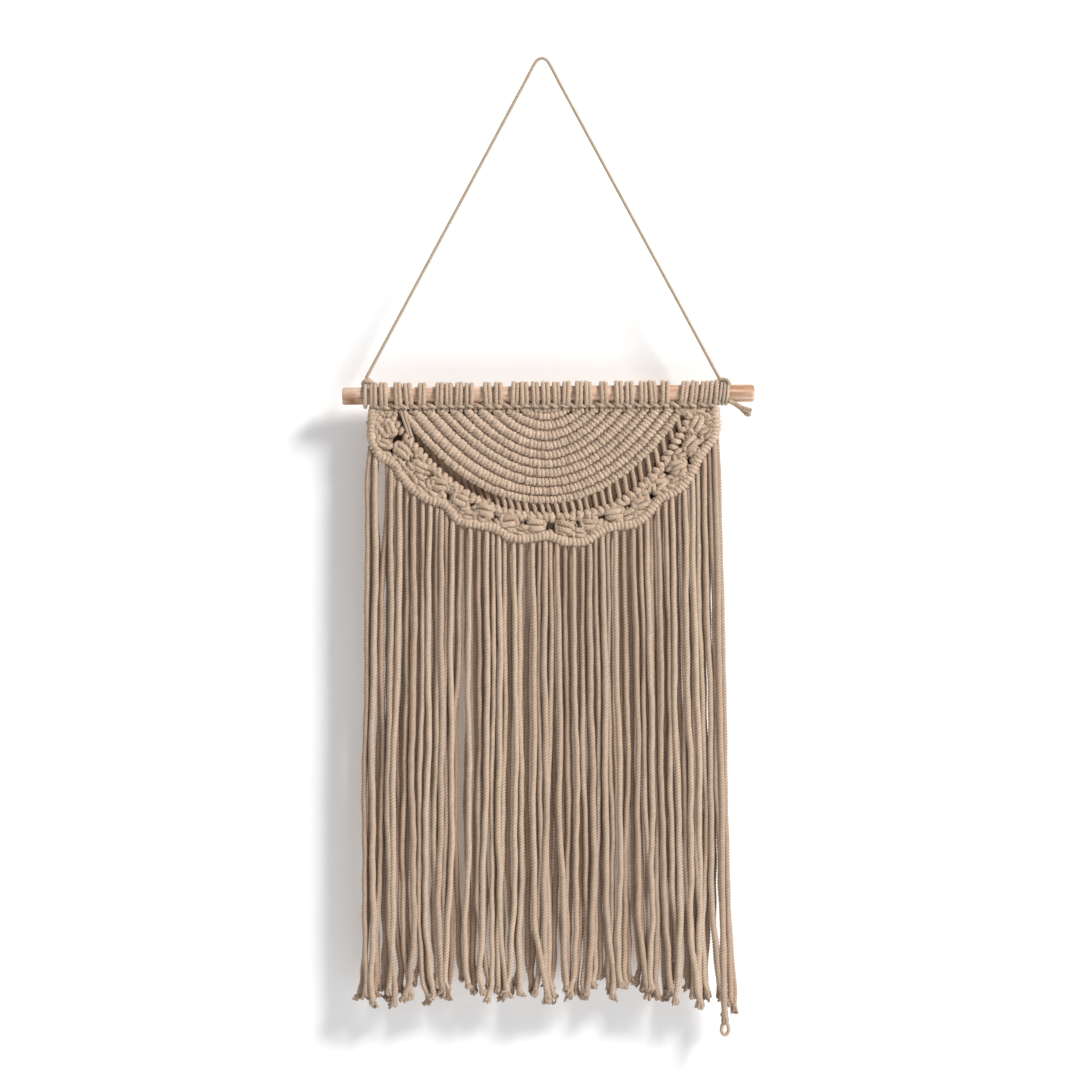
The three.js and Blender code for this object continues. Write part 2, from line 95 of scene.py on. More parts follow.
HANGER_ROUTE = [  # x, z of the hanging cord, from the knob to the turns at the right
    (-149.4, -270.2), (-125.4, -225.6), (-101.4, -180.8), (-77.4, -136.1), (-53.3, -91.3),
    (-29.3, -46.5), (-15.4, -20.6), (-5.3, -1.8), (-3.1, 0.5), (0, 1.4), (3.1, 0.5), (5.3, -1.8),
    (15.5, -20.6), (29.6, -46.7), (54, -91.7), (78.3, -136.6), (102.7, -181.5), (127, -226.5),
    (150.9, -270.9),
]

Turn = namedtuple("Turn", "x reach radius lean")
KNOB_TURN = Turn(-150.2, 9.3, 2, 0)
KNOB_ASIDE, KNOB_RISE = 1.4, 12  # the knob's middle, from the rod's axis at its turn
KNOB_CORDS = [  # radius, and offsets from the knob's middle
    (2.3, [
        (-2.6, 1.5, -3.6), (-3, -1.5, -1.2), (-0.9, -3, 0.4),
        (2, -2.8, 0.4), (4.4, -1.2, -0.9), (4.6, 1.6, -3.2),
    ]),
    (2.1, [(-2.6, 3.4, -2.6), (-1.4, 1.2, 0.8), (0.8, 0, 1.9), (3.2, 1.4, 0.5), (3.8, 3.8, -2.6)]),
]
KNOB_FOOT_ASIDE, KNOB_FOOT_REACH = 2.9, 8.9  # a short arc over the rod, under the knob
RIGHT_TURNS = [Turn(x, 9.1, 1.6, lean) for x, lean in ((151.3, -1.5), (154.4, -1.3), (157.4, -1.1))]
ARCH = [  # x, drop, y
    (149.4, -10.2, -1.6), (151.4, -12.2, -2.4), (154.4, -12.9, -3.2), (157.4, -11.8, -4.2),
    (159, -8.6, -6.6),
]
ARCH_RADIUS = 2.0
TAIL = [  # x, drop, y
    (158.4, 5.6, -6.6), (163, 7.6, -6.6), (166.6, 9.8, -7.2), (169.6, 11.7, -7.6),
    (171.8, 13.2, -7.8),
]
TAIL_TURN = 7.0
TAIL_TUFT = 3.3  # radius of its frayed end

LOOP_CENTRES = [
    -143.2, -134.4, -122, -113.5, -102, -87.3, -79, -70.4, -61.6, -46.3,
    -37, -23.1, -14.9, -5.6, 3.4, 12.4, 20.6, 31, 39.2, 52.7,
    65.5, 74.4, 85.9, 94.4, 104.6, 120.5, 128.8, 137, 145.2,
]
LOOP_SPACING = 3.6  # between the two strands of a loop
LOOP_RADIUS = 2.1
LOOP_REACH = 9.6  # from the rod's axis to a loop's centreline
LOOPS_ASKEW = (118, 140)  # x of the loops that lean more
ASKEW = 1.2

HEADING_LEFT, HEADING_RIGHT = -146, 148
TWISTS_FROM, TWISTS_TO, TWIST_PITCH = -141.5, 146, 7.9
TWIST_DROP = 8.8
TWIST_RADIUS = 1.85
HEADING_CORE_DROP = 9.4
HEADING_BACK_DROPS = (11.5, 15.2)  # of the cords that close the heading from behind
HEADING_BACK_Y = 4.2

FAN_CENTRE_X = 3.4
HEADING_DROP = 12.2  # where the fan's bars start, at x = 0
Edge = namedtuple("Edge", "left right depth full_left full_right")
FAN_EDGES = [Edge(*row) for row in (
    (6, 7, 0, 1.9, 1.9), (13, 14, 2.6, 1.9, 1.9), (26, 25.5, 9.9, 1.9, 1.9),
    (38, 37, 18.4, 1.9, 1.9), (49, 47.5, 27.2, 1.9, 1.9), (62, 57.5, 35.3, 1.85, 1.9),
    (73, 68, 42.9, 1.85, 1.95), (85, 81, 50.5, 1.85, 2), (94, 89.5, 58.5, 1.85, 2),
    (106, 100.5, 66.1, 1.95, 2.05), (117.5, 111, 73.8, 2.1, 2.1), (127, 119.5, 80.5, 2.15, 2.15),
)]
BAR_DEPTH = 3.3  # from a bar's middle to the centreline of its wraps, toward the front
WRAP_OVERLAP = 0.5  # how far the wraps of two bars press into each other
WRAP_SWELL = 0.3  # how much thicker the wraps are at the left

INNER_BAR = Edge(134.5, 125.5, 91.1, 2.25, 3.0)
OPEN_FIRST = -125.0
OPEN_PITCH = 6.5
OPEN_COUNT = 38
OPEN_LEAN = 2.6  # how far a strand leans to the right on its way down
OPEN_SHADED = 6.0  # how much deeper the strands at the left start, in the fan's shade
OPEN_BACK_Y = 3.2  # of the strands between and behind them
CLOSING_Y = 6.0  # of the cords that close the band from behind
THIN_PITCH = 5.9
SLANTING_STRANDS = [  # x, the share of the second strand's distance kept, drop, y
    (-121, 1, 9.5, -3), (-119, 0.8, 17, -5), (-115.6, 0.7, 27, -5.2),
    (-112.6, 0.6, 36, -3), (-111.2, 0.5, 42, 2),
]
SLANTING_APART = 3.3

UPPER_KNOTS = [  # x, drop
    (-129, 28.3), (-119, 47), (-103.5, 61.4), (-86.5, 76.7),
    (-69, 89.5), (-48.5, 98), (-28, 107.3), (-5, 110.7),
    (19.5, 111.6), (40, 109.9), (61, 101.4), (83.5, 92),
    (100.5, 75.9), (115, 59.7), (126.5, 41.9), (131, 24.9),
]
LOWER_KNOTS = [
    (-134.5, 41), (-103, 78.4), (-63, 102.2), (-18, 115.8),
    (31.5, 117.5), (72.5, 102.6), (114, 74.2), (117, 50), (139.5, 33.4),
]
KNOT_HALF_WIDTH = 6.0  # to the centreline of its bars
KNOT_BAR_RISE = 2.3  # of each of its two bars above and below its middle
KNOT_BAR_RADIUS = 2.75
KNOT_FOLLOWS_SLOPE = 0.7
LOWER_KNOT_SIZE = 0.84
KNOT_CORD_RADIUS = 2.3  # of its side loops
KNOT_CLEAR = 4.7  # no short bend lies nearer than this to a knot's middle
HOLE_CLEAR = 1.9  # or to a hole's edge
PUFF_RADIUS = 2.5
PUFF_SHARES = (0.08, 0.3, 0.52, 0.74, 0.94)  # where they lie between the thin bar and the border

Hole = namedtuple("Hole", "x drop half_width half_height")
HOLES = [Hole(*row) for row in (  # small openings between the knots
    (-125, 40.2, 1.3, 2.1), (-112.6, 56.3, 1.7, 3.4), (-96.9, 70.8, 1.3, 1.7), (-79.9, 85.6, 1.7, 3.4),
    (-59.1, 93.7, 2.1, 2.6), (-40.4, 104.3, 2.1, 3.8), (-17, 108.2, 3, 2.8), (6, 112.4, 2.6, 2.6),
    (30.2, 108.6, 2.1, 2.6), (51.9, 105.2, 2.6, 2.1), (72.3, 94.6, 2.6, 1.7), (93.1, 84.8, 1.7, 3.8),
    (107.1, 66.9, 3, 1.7), (123.7, 52.1, 1.7, 3), (134.3, 44.4, 1.3, 2.1), (131.8, 31.7, 2.6, 2.1),
    (141, 13, 1.6, 3),
)]
FILL_PITCH = 3.3  # of the strands that run behind the knots from bar to border
FILL_RADIUS = 2.1
HOLE_BACK_Y = 5.2  # where those strands pass a hole
FILL_LEFT, FILL_RIGHT, FILL_LONGEST = -132, 128, 26  # past these they come from the heading
BACKING_ROWS = 10
BACKING_Y = 6.6

BORDER_START = (-143.5, 11.3)
Scallop = namedtuple("Scallop", "first last cusp strands")
# Two points of the belly and the cusp, each as x, drop, and how many fringe strands lie under it.
SCALLOPS = [Scallop(*row) for row in (
    ((-144.2, 38.5), (-138.6, 50.4), (-126.7, 58), 4),
    ((-115, 74.5), (-98, 87.8), (-83.3, 92.9), 8),
    ((-70, 106.5), (-52, 110.4), (-39.1, 113.3), 7),
    ((-25, 121.3), (-7, 121.2), (5.1, 119.6), 7),
    ((19, 124.2), (37, 124), (48.5, 116.7), 7),
    ((60, 111.7), (79, 109), (91, 99.7), 7),
    ((99.5, 88.8), (114, 81.8), (123.3, 72.5), 6),
    ((134.5, 52), (146.2, 34.5), (147, 11.3), 7),
)]
BORDER_HALF = 2.3  # from the border's middle to the centreline of its wraps
BORDER_DEPTH = 3.0
BORDER_FRONT = 0.9  # how far in front of the panel's middle it lies

FRINGE_LEFT, FRINGE_RIGHT = -150.0, 151.5
FRINGE_CROWD = 0.28  # how much closer the strands lie at a cusp than on a belly
FRINGE_FRONT_Y = -2.2
FRINGE_BACK_Y = 3.0
FRINGE_STAGGER = 1.3  # every other front strand lies nearer by twice this
ROOT_LEFT, ROOT_RIGHT = -146.2, 148.6  # how far out a strand may start
SPREAD_LEFT, SPREAD_RIGHT = -6.0, 10.0  # how far the outer strands drift aside on their way down
FRINGE_ENDS = [  # x, drop of the cut ends
    (-154, 517), (-110, 513), (-60, 511), (0, 514), (60, 508), (110, 516), (158, 525),
]
END_UNEVEN = 6.5
SLACK_SWELL, END_SWELL = 0.2, 0.06  # how much thicker a strand grows as it slackens
STRAND_STEP = 1.05
# how much painted shade the fringe's strands take where they lie toward the panel's middle
FRINGE_SHADE = 0.6
SHORT_STRANDS = (42, 48)
SHORT_BY = 36.0
BACK_SHORTER = (-2, 13)  # how much shorter the back row is
LAST_SPLAY = 6.0  # of the back row's last strand, to the right
CALM_WANDER = 0.3  # of the strands from the eye on
EYE_STRAND = 51  # the one that ends in a loop
EYE_SPLAY = -2.0
EYE_TOP_DROP = 535.5
EYE_RADIUS, EYE_TURN = 1.9, 4.8
EYE_LOOP = [  # offsets from the strand's end
    (-0.4, 0, 3), (0.5, -0.4, -2), (2.7, 0, -7.4), (3, 0.3, -11.6), (0.5, 0, -15),
    (-2.6, -0.3, -12.6), (-2.8, 0, -8.4), (-0.6, 0.5, -3), (0.8, 0.4, 2.6),
]
SLIT_STRAND = 2  # the one to the right of the light slit at the upper left
SLIT_SHIFT = 3.8  # how far it stands aside at its root
TUFT = 6.0  # length of the loose plies at a cut end
TUFT_LOCKS = 6
TUFT_TURN = 4.0
TUFT_FLAT = 0.75  # how deep a tuft is for its width

# In metres.
WALL_Y = 0.031
FLOOR_Z = -1.6
STAGE_REACH = 4.0
LIT_CENTRE = Vector((0.0, 0.0, -0.42))
KEY_DIRECTION = Vector((0.62, -0.53, 0.57))
KEY_DISTANCE = 6.0


# ---------------- curves


def at(x, drop, y=0.0):
    """A point by its distance below the rod's axis."""
    return np.array([x, y, -ROD_DROP - drop])


def rod_lift(x):
    """How far the tilted rod lies above its height at x = 0."""
    return x * math.tan(ROD_TILT)


def unit(vectors):
    return vectors / np.linalg.norm(vectors, axis=-1, keepdims=True)


def lengths(line):
    return np.linalg.norm(np.diff(line, axis=0), axis=1)


def spaced(line, step):
    """The line again, with points about step apart."""
    along = np.concatenate([[0], np.cumsum(lengths(line))])
    places = np.linspace(0, along[-1], max(2, round(along[-1] / step) + 1))
    return np.stack([np.interp(places, along, line[:, k]) for k in range(3)], axis=1)


def curve(points, step):
    """A centripetal Catmull-Rom curve through the points, with points about step apart."""
    p = np.array(points, float)
    p = np.vstack([2 * p[0] - p[1], p, 2 * p[-1] - p[-2]])
    pieces = []
    for a, b, c, d in zip(p, p[1:], p[2:], p[3:]):
        ta, tb, tc, td = np.cumsum([0, *lengths(np.array([a, b, c, d])) ** 0.5])
        t = np.linspace(tb, tc, 16, endpoint=False)[:, None]
        ab = a + (b - a) * (t - ta) / (tb - ta)
        bc = b + (c - b) * (t - tb) / (tc - tb)
        cd = c + (d - c) * (t - tc) / (td - tc)
        abc = ab + (bc - ab) * (t - ta) / (tc - ta)
        bcd = bc + (cd - bc) * (t - tb) / (td - tb)
        pieces.append(abc + (bcd - abc) * (t - tb) / (tc - tb))
    return spaced(np.vstack([*pieces, p[-2:-1]]), step)


def through(middle, offsets, step):
    """A curve through points that are given from a middle."""
    return curve([middle + np.array(offset) for offset in offsets], step)


def under_rod(drop, y, step, inset=0.0):
    """A straight line below the rod, from one end of the heading to the other."""
    ends = [at(x, drop - rod_lift(x), y) for x in (HEADING_LEFT + inset, HEADING_RIGHT - inset)]
    return spaced(np.array(ends), step)


def hanging_arc(edge):
    """An arc that hangs from the heading."""
    turn = np.sin((np.linspace(0, 1, 400) - 0.5) * math.pi)
    x = FAN_CENTRE_X + turn * np.where(turn < 0, edge.left, edge.right)
    full = np.where(turn < 0, edge.full_left, edge.full_right)
    drop = HEADING_DROP - rod_lift(x) + edge.depth * (1 - np.abs(turn) ** full)
    return np.stack([x, 0 * x, -ROD_DROP - drop], axis=1)


def border_line():
    points = [at(*BORDER_START)]
    for scallop in SCALLOPS:
        points += [at(*scallop.first), at(*scallop.last), at(*scallop.cusp)]
    return curve(points, 0.5)


def nearest(line, point):
    return line[np.argmin(np.linalg.norm(line - point, axis=1))]


def nearest_across(line, x):
    return line[np.argmin(np.abs(line[:, 0] - x))]


def lowest_across(line, x):
    """The lowest of the line's points that lie about at x."""
    near = line[np.abs(line[:, 0] - x) < 1.6]
    return near[np.argmin(near[:, 2])]


def smooth(t):
    """A soft step from 0 to 1."""
    t = np.clip(t, 0, 1)
    return t * t * (3 - 2 * t)


def placed_along(line, pitch):
    """Index, point and direction at places along the line, about pitch apart."""
    along = np.concatenate([[0], np.cumsum(lengths(line))])
    count = max(3, round(along[-1] / pitch))
    for i in range(count):
        k = int(np.clip(np.searchsorted(along, (i + 0.5) / count * along[-1]), 1, len(along) - 2))
        yield k, line[k], unit(line[k + 1] - line[k - 1])


# ---------------- the cord mesh


class Cords:
    """Swept three-ply strands, gathered into one mesh with what the cotton material reads."""

    def __init__(self, seed):
        self.random = np.random.default_rng(seed)
        self.points, self.quads, self.tips = [], [], []
        self.looks = {"fibre": [], "tone": [], "groove": [], "painted_shade": []}
        self.count = 0

    def sweep(
        self, line, radius, turn,
        reference=FRONT, closed=False, groove=PLY_GROOVE, tone=None, shelter=PANEL, shade=1.0,
    ):
        """A strand along the line, whose plies go round once in the length turn.

        radius and the grooves' depth may be one value or one for each point; the depth also sets the
        painted shade in the grooves. reference is any direction that the line never runs in. tone is
        where its colour lies between the material's two, and shade is how much painted shade the
        shelter puts on it.
        """
        n, sides = len(line), SECTION_SIDES
        if closed:
            ahead = np.roll(line, -1, axis=0)
            steps = np.linalg.norm(ahead - line, axis=1)
            along = np.concatenate([[0], np.cumsum(steps)])[:n]
            total = steps.sum()
            tangent = unit(ahead - np.roll(line, 1, axis=0))
            thirds = max(1, round(PLIES * total / turn))
            twist = TURN * thirds / PLIES * along / total
        else:
            along = np.concatenate([[0], np.cumsum(lengths(line))])
            tangent = unit(np.gradient(line, axis=0))
            twist = TURN * along / turn
        normal = unit(reference - (tangent @ reference)[:, None] * tangent)
        binormal = np.cross(tangent, normal)

        side = np.arange(sides)
        radius = np.broadcast_to(radius, n)
        depth = np.broadcast_to(groove, n)[:, None] * (side % 2)
        phase = self.random.uniform(0, TURN)
        angle = (twist + phase)[:, None] + TURN * side / sides
        reach = radius[:, None] * (1 - depth)
        ring = line[:, None, :] + (reach * np.cos(angle))[..., None] * normal[:, None, :]
        ring += (reach * np.sin(angle))[..., None] * binormal[:, None, :]
        index = self.count + np.arange(n * sides).reshape(n, sides)
        following = np.roll(index, -1, axis=0)
        if closed:
            following[-1] = np.roll(index[0], -2 * thirds % sides)
        rows = slice(None) if closed else slice(0, n - 1)
        here, there = index[rows], following[rows]
        corners = [here, np.roll(here, -1, axis=1), np.roll(there, -1, axis=1), there]
        self.quads.append(np.stack(corners, axis=-1).reshape(-1, 4))

        strand = self.random.uniform(0, 1000)
        fibre = np.empty((n, sides, 3))
        fibre[..., 0] = np.cos(TURN * side / sides)
        fibre[..., 1] = np.sin(TURN * side / sides)
        fibre[..., 2] = (along + strand)[:, None]
        tone = self.random.uniform(0, 1) if tone is None else tone
        # Painted shade, read by the material: the grooves between plies darken as deep as they are cut, and
        # the points that the shelter keeps out of the light darken too.
        painted_shade = shade * painted_shelter_shade(shelter, line, ring, reach).reshape(-1)
        self.store(ring.reshape(-1, 3), fibre.reshape(-1, 3), tone, depth.reshape(-1) / PLY_GROOVE, painted_shade)
        if closed:
            return
        # Each end cap gets painted groove shade at its middle, and painted shade there too unless the strand
        # lies in the open.
        tip_painted_shade = 0.0 if shelter == OPEN else TIP_PAINTED_SHADE
        for end, outward, flip in ((0, -tangent[0], True), (n - 1, tangent[-1], False)):
            rim = index[end]
            ahead = np.roll(rim, -1)
            first, second = (ahead, rim) if flip else (rim, ahead)
            self.tips.append(np.stack([first, second, np.full(sides, self.count)], axis=-1))
            tip = line[end] + outward * TIP_BULGE * radius[end]
            self.store(tip[None], [[0.0, 0.0, along[end] + strand]], tone, [TIP_GROOVE_SHADE], [tip_painted_shade])

    def store(self, points, fibre, tone, groove, painted_shade):
        """Adds points, with what the material reads at each."""
        self.points.append(points)
        tones = np.full(len(points), tone)
        for known, values in zip(self.looks.values(), (fibre, tones, groove, painted_shade)):
            known.append(values)
        self.count += len(points)

    def piece(self, name, material, slot, *replaced):
        """The mesh as an object that rides on the frame and stands for CAD nodes."""
        quads = np.vstack(self.quads)
        tips = np.vstack(self.tips or [np.empty((0, 3), int)])
        mesh = bpy.data.meshes.new(name)
        mesh.vertices.add(self.count)
        mesh.vertices.foreach_set("co", (np.vstack(self.points) * MM).astype(np.float32).ravel())
        mesh.loops.add(quads.size + tips.size)
        mesh.loops.foreach_set("vertex_index", np.concatenate([quads.ravel(), tips.ravel()]).astype(np.int32))
        starts = np.concatenate([np.arange(len(quads)) * 4, quads.size + np.arange(len(tips)) * 3])
        mesh.polygons.add(len(starts))
        mesh.polygons.foreach_set("loop_start", starts.astype(np.int32))
        mesh.update(calc_edges=True)
        mesh.shade_smooth()
        for key, values in self.looks.items():
            kind, field = ("FLOAT_VECTOR", "vector") if key == "fibre" else ("FLOAT", "value")
            attribute = mesh.attributes.new(key, kind, "POINT")
            attribute.data.foreach_set(field, np.concatenate(values).astype(np.float32).ravel())
        return placed(name, mesh, material, slot, *replaced)


def linked(name, data):
    """A new object in the scene."""
    made = bpy.data.objects.new(name, data)
    bpy.context.collection.objects.link(made)
    return made


def painted_shelter_shade(shelter, line, ring, reach):
    """How much painted shade each point of a strand gets, from 0 to 1, as if it lay out of the light."""
    if shelter == PANEL:
        return smooth(1 - np.abs(ring[..., 1]) / CREST_DEPTH)
    if shelter == BEHIND:
        return smooth(0.5 + BACK_FADE * (line[:, None, 1] - ring[..., 1]) / reach)
    return np.zeros(reach.shape)


def placed(name, mesh, material, slot, *replaced):
    """An object on the frame's one body, with its material, that stands for CAD nodes. slot is not used."""
    mesh.materials.append(material)
    made = linked(name, mesh)
    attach(made, "root")
    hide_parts(*replaced)
    return made


def wrap(
    cords, centre, along, half_across, half_depth, radius, lean,
    steps=16, turn=WRAP_TURN, groove=PRESSED_GROOVE, shelter=PANEL,
):
    """One turn of cord round a bar that runs along a direction, as a closed loop."""
    across = np.cross(along, FRONT)
    angle = np.linspace(0, TURN, steps, endpoint=False) - math.pi / 2
    line = centre + np.outer(np.cos(angle), half_across * across + lean * along)
    line += np.outer(np.sin(angle), half_depth * FRONT)
    cords.sweep(line, radius, turn, reference=along, closed=True, groove=groove, shelter=shelter)


# ---------------- materials

WHITE = (1, 1, 1)
STAGE_COLOUR = (0.918, 0.93, 0.943, 1)
# Painted shade: the tints that darken the ply grooves and the points that lie out of the light.
GROOVE_SHADE_TINT = (0.68, 0.57, 0.49)
PAINTED_SHADE_TINT = (0.60, 0.49, 0.41)
WOOD_STREAKS = (
    (0.34, (0.41, 0.225, 0.14)), (0.44, (0.56, 0.36, 0.25)),
    (0.56, (0.67, 0.48, 0.36)), (0.68, (0.75, 0.59, 0.475)),
)
FLECK_TINT = (0.5, 0.38, 0.3)
WOOD_MARKS = [  # centre and size in metres, and tint, of the mark and of the darkening toward the left end
    ((-0.161, -0.006, -0.2905), 0.009, (0.42, 0.28, 0.2)),
    ((-0.185, -0.006, -0.286), 0.075, (0.95, 0.89, 0.84)),
]


def fill_in(node, values):
    """Sets a node's inputs by name."""
    for key, value in values.items():
        node.inputs[key].default_value = value


class Nodes:
    """A material's node tree, with short ways to add and join nodes."""

    def __init__(self, name, roughness, sheen=0.0, specular=0.2):
        self.material = bpy.data.materials.new(name)
        self.material.use_nodes = True
        self.tree = self.material.node_tree
        self.shader = self.tree.nodes["Principled BSDF"]
        looks = {"Roughness": roughness, "Sheen Weight": sheen, "Specular IOR Level": specular}
        fill_in(self.shader, looks)

    def add(self, kind, **settings):
        node = self.tree.nodes.new("ShaderNode" + kind)
        for key, value in settings.items():
            setattr(node, key, value)
        return node

    def join(self, source, target):
        self.tree.links.new(source, target)

    def attribute(self, name, output="Fac"):
        return self.add("Attribute", attribute_name=name).outputs[output]

    def noise(self, vector, stretch, scale, detail):
        mapping = self.add("Mapping")
        fill_in(mapping, {"Scale": stretch})
        self.join(vector, mapping.inputs["Vector"])
        noise = self.add("TexNoise")
        fill_in(noise, {"Scale": scale, "Detail": detail, "Roughness": 0.6})
        self.join(mapping.outputs["Vector"], noise.inputs["Vector"])
        return noise.outputs["Fac"]

    def ranged(self, value, low, high, from_low, from_high):
        node = self.add("MapRange")
        fill_in(node, {"From Min": from_low, "From Max": from_high, "To Min": low, "To Max": high})
        self.join(value, node.inputs["Value"])
        return node.outputs["Result"]

    def ramp(self, value, *stops):
        node = self.add("ValToRGB")
        ramp = node.color_ramp
        while len(ramp.elements) < len(stops):
            ramp.elements.new(0.5)
        for element, (place, colour) in zip(ramp.elements, stops):
            element.position = place
            element.color = (*colour, 1)
        self.join(value, node.inputs["Fac"])
        return node.outputs["Color"]

    def times(self, colour, value):
        node = self.add("VectorMath", operation="MULTIPLY")
        self.join(colour, node.inputs[0])
        self.join(value, node.inputs[1])
        return node.outputs["Vector"]

    def bump(self, height, distance, strength):
        node = self.add("Bump")
        fill_in(node, {"Distance": distance, "Strength": strength})
        self.join(height, node.inputs["Height"])
        return node.outputs["Normal"]

    def finish(self, colour, normal):
        self.join(colour, self.shader.inputs["Base Color"])
        self.join(normal, self.shader.inputs["Normal"])
        return self.material


def cotton(name, dark, light):
    """Matte yarn: streaks of fibre along each ply, strands of unlike tone, and painted shade in the
    ply grooves and wherever a strand lies out of the light.
    """
    nodes = Nodes(name, roughness=0.92, sheen=0.25)
    fibre = nodes.attribute("fibre", "Vector")
    streaks = nodes.noise(fibre, (2.6, 2.6, 0.7), 1.6, detail=4.0)
    patches = nodes.noise(fibre, (0.3, 0.3, 0.09), 1.0, detail=2.0)
    colour = nodes.ramp(nodes.attribute("tone"), (0.0, dark), (1.0, light))
    colour = nodes.times(colour, nodes.ranged(streaks, 0.84, 1.16, 0.3, 0.7))
    colour = nodes.times(colour, nodes.ranged(patches, 0.93, 1.07, 0.3, 0.7))
    # Painted shade in the ply grooves and wherever a strand lies out of the light.
    for key, tint in (("groove", GROOVE_SHADE_TINT), ("painted_shade", PAINTED_SHADE_TINT)):
        colour = nodes.times(colour, nodes.ramp(nodes.attribute(key), (0.0, WHITE), (1.0, tint)))
    normal = nodes.bump(streaks, distance=0.35 * MM, strength=0.8)
    return nodes.finish(colour, normal)


def wood():
    """Bare sanded wood: fine grain along the rod, darker streaks and a few brown flecks."""
    nodes = Nodes("bare_wood", roughness=0.6)
    place = nodes.add("TexCoord").outputs["Object"]
    grain = nodes.noise(place, (22, 520, 520), 1.0, detail=5.0)
    streak = nodes.noise(place, (9, 150, 150), 1.0, detail=3.0)
    fleck = nodes.noise(place, (42, 260, 260), 1.0, detail=1.0)
    colour = nodes.ramp(streak, *WOOD_STREAKS)
    colour = nodes.times(colour, nodes.ranged(grain, 0.72, 1.12, 0.32, 0.62))
    colour = nodes.times(colour, nodes.ramp(fleck, (0.26, FLECK_TINT), (0.34, WHITE)))
    for centre, size, tint in WOOD_MARKS:
        distance = nodes.add("VectorMath", operation="DISTANCE")
        nodes.join(place, distance.inputs[0])
        distance.inputs[1].default_value = centre
        share = nodes.ranged(distance.outputs["Value"], 0, 1, 0, size)
        colour = nodes.times(colour, nodes.ramp(share, (0.0, tint), (1.0, WHITE)))
    return nodes.finish(colour, nodes.bump(grain, distance=0.25 * MM, strength=0.6))


COTTON = cotton("slack_cotton", dark=(0.505, 0.395, 0.31), light=(0.62, 0.51, 0.405))
TIGHT_COTTON = cotton("tight_cotton", dark=(0.525, 0.403, 0.302), light=(0.60, 0.476, 0.367))
THIN_COTTON = cotton("thin_cotton", dark=(0.50, 0.40, 0.31), light=(0.60, 0.49, 0.39))
WOOD = wood()
KNOTTED = (TIGHT_COTTON, "cotton", "knotted_panel")  # material, slot and CAD node

# ---------------- camera and hanging cord


def camera():
    data = bpy.data.cameras.new("camera")
    data.sensor_width = SENSOR_WIDTH
    data.lens = SENSOR_WIDTH * CAMERA_DISTANCE / VIEW_WIDTH
    data.clip_end = CLIP_END
    made = linked("camera", data)
    made.location = (VIEW_X * MM, -CAMERA_DISTANCE * MM, VIEW_Z * MM)
    made.rotation_euler = (math.pi / 2, 0, 0)
    bpy.context.scene.camera = made


def thin_turn(cords, turn, along):
    """One turn of the hanging cord round the rod."""
    wrap(
        cords, at(turn.x, -rod_lift(turn.x)), along, turn.reach, turn.reach,
        radius=turn.radius, lean=turn.lean, steps=36, turn=THIN_TURN, shelter=OPEN,
    )


def left_wrap():
    """The cord's left end: a knob on top of the rod and one turn round it."""
    cords = Cords(11)
    thin_turn(cords, KNOB_TURN, RIGHT)
    lift = rod_lift(KNOB_TURN.x)
    middle = at(KNOB_TURN.x + KNOB_ASIDE, -lift - KNOB_RISE)
    for radius, offsets in KNOB_CORDS:
        cords.sweep(through(middle, offsets, 0.8), radius, THIN_TURN, reference=UP, shelter=OPEN)
    x, reach = KNOB_TURN.x + KNOB_FOOT_ASIDE, KNOB_FOOT_REACH
    foot = [at(x, -lift - reach * math.sin(a), -reach * math.cos(a)) for a in np.linspace(0.7, 2.6, 9)]
    cords.sweep(spaced(np.array(foot), 0.8), KNOB_TURN.radius, THIN_TURN, reference=RIGHT, shelter=OPEN)
    return cords.piece("cord_knob", THIN_COTTON, "hanging_cord", "hanger_wrap_left")


def right_wraps():
    """The cord's right end: turns side by side on the rod, and an arch over them."""
    cords = Cords(12)
    for turn in RIGHT_TURNS:
        thin_turn(cords, turn, unit(np.array([1.0, 0.0, math.tan(ROD_TILT)])))
    cords.sweep(curve([at(*point) for point in ARCH], 0.8), ARCH_RADIUS, THIN_TURN, shelter=OPEN)
    return cords.piece("cord_turns", THIN_COTTON, "hanging_cord", "hanger_wrap_right")


def cord_tail():
    """The free end, which frays open."""
    cords = Cords(13)
    line = curve([at(*point) for point in TAIL], 0.5)
    t = np.linspace(0, 1, len(line))
    cords.sweep(line, 2.35 + 0.7 * t**2, TAIL_TURN, groove=0.2 + 0.1 * t, tone=0.4, shelter=OPEN)
    tuft(cords, line, TAIL_TUFT, 0.4)
    return cords.piece("cord_tail", THIN_COTTON, "hanging_cord", "hanger_tail")


def hanging_cord():
    with_pieces = [left_wrap(), right_wraps(), cord_tail()]
    cords = Cords(10)
    line = curve([(x, 0.0, z) for x, z in HANGER_ROUTE], 0.85)
    cords.sweep(line, THIN_RADIUS, THIN_TURN, tone=0.5, shelter=OPEN)
    made = cords.piece("hanging_cord", THIN_COTTON, "hanging_cord", "hanger_cord")


# ---------------- rod


def rod_profile():
    """Distance along the rod and radius: the left end cut flat, the right end rounded off."""
    half = ROD_LENGTH / 2
    left = [(0, 0), (0, 3.5), (0, ROD_RADIUS - 0.9), (0.35, ROD_RADIUS - 0.3), (1.1, ROD_RADIUS)]
    profile = [(along - half, radius) for along, radius in left]
    profile += [(along, ROD_RADIUS) for along in np.linspace(-half + 12, half - 12, 24)]
    for turn in np.linspace(0, math.pi / 2, 7):
        inward, shrink = 1 - math.sin(turn), 1 - math.cos(turn)
        profile.append((half - ROD_ROUNDING * inward, ROD_RADIUS - ROD_ROUNDING * shrink))
    return profile + [(half, 2.5), (half, 0)]


